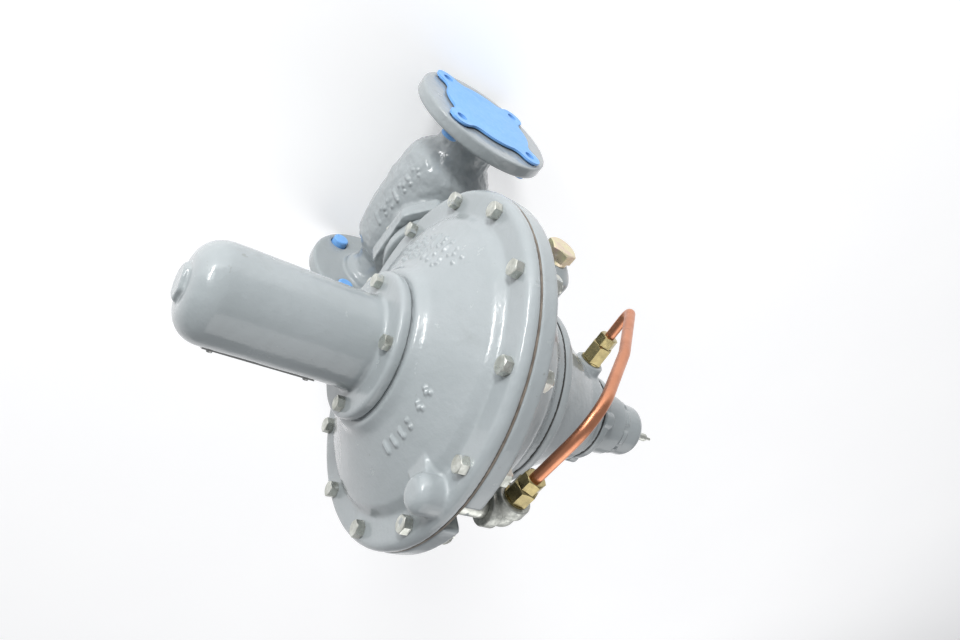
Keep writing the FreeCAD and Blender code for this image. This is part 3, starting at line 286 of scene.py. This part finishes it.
MATERIALS = {
    "body_paint": enamel("body_enamel", 0.0022),
    "casing_paint": enamel("casing_enamel", 0.0009),
    "zinc": plated("zinc", (0.70, 0.71, 0.66), (0.42, 0.43, 0.38), 0.02),
    "yellow_zinc": plated("yellow_zinc", (0.80, 0.76, 0.48), (0.76, 0.60, 0.50), -0.05),
    "steel": machined("steel", (0.62, 0.62, 0.62), (0.50, 0.50, 0.50), 0.28, (1, 1, 0.1)),
    "malleable_iron": galvanised_iron(),
    "brass": machined("brass", (0.52, 0.43, 0.21), (0.30, 0.25, 0.13), 0.22, (0.15, 1, 1)),
    "copper": copper_tube_metal(),
    "spring_steel": machined("spring_steel", (0.26, 0.27, 0.29), (0.18, 0.18, 0.20), 0.34, (1, 1, 1)),
    "seal_rubber": rubber("seal_rubber", (0.02, 0.02, 0.02), 0.62),
    "gasket": rubber("gasket", (0.035, 0.035, 0.033), 0.75),
    "blue_plastic": moulded_plastic(),
    "plate_metal": machined("plate_metal", (0.42, 0.42, 0.41), (0.30, 0.30, 0.29), 0.36, (1, 0.1, 1)),
}
NODE_MATERIALS = {
    "main_diaphragm": rubber("diaphragm_fabric", (0.13, 0.11, 0.09), 0.7),
    "spring_case_gasket": rubber("painted_gasket", (0.15, 0.165, 0.17), 0.5),
}
SLOT_OF = {part["node"]: part["material_slot"] for part in frame["record"]["subparts"]}


# ---------------------------------------------------------------- CAD nodes

def dress_nodes():
    """Every CAD node gets its slot's material and smooth shading with crisp edges."""
    for name, node in NODES.items():
        node.data.materials.clear()
        node.data.materials.append(NODE_MATERIALS.get(name, MATERIALS[SLOT_OF[name]]))
        for face in node.data.polygons:
            face.use_smooth = True
        node.data.set_sharp_from_angle(angle=SHARP_ANGLE)


dress_nodes()


# ---------------------------------------------------------------- castings

def apply_modifiers(piece):
    """Replaces a piece's mesh with what its modifiers make of it."""
    depsgraph = bpy.context.evaluated_depsgraph_get()
    mesh = bpy.data.meshes.new_from_object(piece.evaluated_get(depsgraph))
    piece.modifiers.clear()
    old = piece.data
    piece.data = mesh
    mesh.name = piece.name
    bpy.data.meshes.remove(old)


def points_and_normals(mesh):
    """Every point's place and normal, as two arrays with a row for each point."""
    places = np.empty(len(mesh.vertices) * 3)
    normals = np.empty(len(mesh.vertices) * 3)
    mesh.vertices.foreach_get("co", places)
    mesh.vertices.foreach_get("normal", normals)
    return places.reshape(-1, 3), normals.reshape(-1, 3)


def move_points(mesh, places):
    mesh.vertices.foreach_set("co", places.ravel())
    mesh.update()


def roughen(mesh, depth, size, seed):
    """Moves the points along their normals by smooth noise, as a sand mould leaves a casting.

    Depth and size are the height and the width of the waves in metres.

    The pipe flanges at the two ends of X are machined, so the noise fades out there.
    """
    places, normals = points_and_normals(mesh)
    shift = np.array((seed * 7.3, seed * 3.1, seed * 5.7))
    samples = (places / size + shift).tolist()
    heights = [noise.noise(p) + 0.5 * noise.noise([c * 2.3 for c in p]) for p in samples]
    from_end = np.minimum(places[:, 0] - BODY_LOW.x, BODY_HIGH.x - places[:, 0])
    on_pipe = places[:, 2] < BODY_HIGH.z
    calm = np.where(on_pipe, np.clip((from_end - FLANGE_ROOM) / FLANGE_ROOM, MACHINED_SHARE, 1), 1)
    places += normals * (np.array(heights) * depth * calm)[:, None]
    move_points(mesh, places)


def raise_marks(mesh, strokes, origin, across, upward, stroke_r, height):
    """Lifts rounded strokes, given in the plane of two directions, out of the surface that faces that way."""
    places, normals = points_and_normals(mesh)
    local = places - np.array(origin)
    flat = np.stack((local @ np.array(across), local @ np.array(upward)), axis=1)
    facing = np.array(across.cross(upward))
    front = (normals @ facing > 0.3) & (local @ facing > 0)
    lift = np.zeros(len(places))
    for start, end in strokes:
        start, run = np.array(start), np.array(end) - np.array(start)
        along = np.clip((flat - start) @ run / (run @ run), 0, 1)
        away = np.linalg.norm(flat - start - along[:, None] * run, axis=1)
        lift = np.maximum(lift, np.clip((stroke_r - away) / (0.55 * stroke_r), 0, 1))
    places += normals * (lift * lift * (3 - 2 * lift) * height * front)[:, None]
    move_points(mesh, places)


def foundry_mark(kind, middle, out, across, length):
    """One mark: 0 is a slanted tick, 1 is three dots, 2 is a short tick with a dot, 3 is two dots."""
    dot = out * (0.04 * length)
    if kind == 0:
        half = out * (0.5 * length) + across * (0.12 * length)
        return [(middle - half, middle + half)]
    if kind == 2:
        low = middle - out * (0.4 * length)
        high = middle + out * (0.42 * length) + across * (0.1 * length)
        return [(low, middle), (high, high + dot)]
    dots = [middle + out * (0.4 * length), middle - out * (0.38 * length) + across * (0.08 * length)]
    if kind == 1:
        dots.append(middle - across * (0.26 * length))
    return [(place, place + dot) for place in dots]


def foundry_row(radius, first, last, kinds, length):
    """Casting marks that spell nothing, along an arc."""
    strokes = []
    for i in range(len(kinds)):
        turn = math.radians(first + (last - first) * i / (len(kinds) - 1))
        out = Vector((math.cos(turn), math.sin(turn)))
        strokes += foundry_mark(kinds[i], out * radius, out, Vector((-out.y, out.x)), length)
    return strokes


def straight_row(first, last, kinds, length):
    """The same marks in a straight row between two places."""
    strokes = []
    for i in range(len(kinds)):
        middle = Vector(first).lerp(Vector(last), i / (len(kinds) - 1))
        strokes += foundry_mark(kinds[i], middle, Vector((0.0, 1.0)), Vector((1.0, 0.0)), length)
    return strokes


# Marks: strokes, origin of their plane, its two directions, stroke radius and height
AXIS = (AXIS_X, 0.0, AXIS_Z)
ALONG_X = Vector((1, 0, 0))
ALONG_Z = Vector((0, 0, 1))
UP_THE_BULB = Vector((0, 0.49, 0.872)).normalized()
DOME_STROKES = (
    foundry_row(0.099, -116, -174, (1, 2, 1, 3, 0, 1, 2, 1, 3), 0.010)
    + foundry_row(0.085, -124, -164, (3, 1, 1, 2, 3, 1), 0.009)
    + foundry_row(0.088, 78, 98, (0, 0, 2, 3), 0.007)
    + foundry_row(0.088, 109, 117, (1, 1), 0.007)
)
BULB_STROKES = straight_row((0.080, 0.002), (0.150, -0.003), (1, 2, 1, 0, 3, 1, 0), 0.012)
MARKS = {
    "front_casing": [(DOME_STROKES, AXIS, ALONG_X, ALONG_Z, 0.0023, 0.0019)],
    "valve_body": [(BULB_STROKES, (0.0, 0.0, 0.0), ALONG_X, UP_THE_BULB, 0.0024, 0.0017)],
}

# Castings: voxel size, rounds of smoothing, then the depth and size of the surface's waves
CASTINGS = {
    "valve_body": (0.0014, 5, 0.00095, 0.012),
    "front_casing": (0.0013, 4, 0.00014, 0.016),
    "rear_casing": (0.0015, 4, 0.00018, 0.016),
    "spring_case": (0.0012, 4, 0.00016, 0.020),
    "relay_case": (0.0013, 4, 0.00016, 0.015),
    "pilot_spring_case": (0.0009, 3, 0.00012, 0.012),
    "closing_cap": (0.0008, 2, 0.00006, 0.012),
}


def casting(node, voxel, rounding, depth, size, seed):
    """Copy of a painted CAD node with rounded edges and a slightly uneven surface."""
    mesh = bpy.data.meshes.new(node + "_cast")
    builder = bmesh.new()
    builder.from_mesh(NODES[node].data)
    bmesh.ops.remove_doubles(builder, verts=builder.verts, dist=WELD_DISTANCE)
    builder.to_mesh(mesh)
    builder.free()
    piece = bpy.data.objects.new(node + "_cast", mesh)
    bpy.context.collection.objects.link(piece)
    remesh = piece.modifiers.new("remesh", "REMESH")
    remesh.mode = "VOXEL"
    remesh.voxel_size = voxel
    smooth = piece.modifiers.new("smooth", "SMOOTH")
    smooth.factor = 0.5
    smooth.iterations = rounding
    apply_modifiers(piece)
    roughen(piece.data, depth, size, seed)
    roughen(piece.data, depth * FINE_DEPTH_SHARE, size * FINE_SIZE_SHARE, seed + FINE_SEED_STEP)
    for strokes, origin, across, upward, stroke_r, height in MARKS.get(node, []):
        raise_marks(piece.data, strokes, origin, across, upward, stroke_r, height)
    for face in piece.data.polygons:
        face.use_smooth = True
    piece.data.materials.append(MATERIALS[SLOT_OF[node]])
    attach(piece, BODY_OF[node])
    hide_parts(node)


for number, (cast_node, (voxel, rounding, depth, size)) in enumerate(CASTINGS.items()):
    casting(cast_node, voxel, rounding, depth, size, number + 1)


# ---------------------------------------------------------------- floor and light

def make_floor():
    """Wide pale floor just under the valve body, which glows a little so that it stays near white."""
    mesh = bpy.data.meshes.new("floor")
    signs = ((-1, -1), (1, -1), (1, 1), (-1, 1))
    corners = [(x * FLOOR_HALF, y * FLOOR_HALF, FLOOR_Z) for x, y in signs]
    mesh.from_pydata(corners, [], [(0, 1, 2, 3)])
    floor = bpy.data.objects.new("floor", mesh)
    bpy.context.collection.objects.link(floor)
    shader = Shader("floor", (0.90, 0.90, 0.90), 0.65)
    clouds = shader.ramp(shader.noise(3, 3), 0.3, 0.7)
    shader.link(shader.mix(clouds, (0.885, 0.885, 0.89), (0.905, 0.905, 0.905)), "Base Color")
    shader.set("Emission Color", (1.0, 1.0, 1.0, 1.0))
    shader.set("Emission Strength", 0.24)
    mesh.materials.append(shader.material)


def area_light(name, direction, distance, size, power, mirrored=True, tall=1.0):
    """Soft light that shines on the object from a direction.

    It shows in glossy surfaces when mirrored, and its height along LIGHT_UP is tall times its size.
    """
    data = bpy.data.lights.new(name, "AREA")
    data.shape = "RECTANGLE"
    data.size = size
    data.size_y = size * tall
    data.energy = power
    light = bpy.data.objects.new(name, data)
    light.location = LIGHT_TARGET + Vector(direction).normalized() * distance
    light.visible_camera = False
    light.visible_glossy = mirrored
    back = (light.location - LIGHT_TARGET).normalized()
    right = LIGHT_UP.cross(back).normalized()
    light.rotation_euler = Matrix((right, back.cross(right), back)).transposed().to_euler()
    bpy.context.collection.objects.link(light)


def make_light():
    """Pale surroundings, a narrow light that leaves long streaks, and three broad soft lights."""
    world = bpy.data.worlds.new("studio")
    world.use_nodes = True
    background = world.node_tree.nodes["Background"]
    background.inputs["Color"].default_value = (0.96, 0.97, 1.0, 1.0)
    background.inputs["Strength"].default_value = 0.40
    bpy.context.scene.world = world
    area_light("key", (-0.58, -0.95, -0.03), 1.5, 0.15, 9.0, tall=5.0)
    area_light("window", (-0.82, -0.58, 0.22), 2.3, 0.45, 46.0, mirrored=False)
    area_light("overhead", (0.45, 0.35, 1.0), 3.2, 3.0, 32.0)
    area_light("fill", (0.6, 0.9, 0.7), 2.4, 1.6, 6.0)


make_floor()
make_light()
bpy.context.scene.view_settings.view_transform = "Standard"
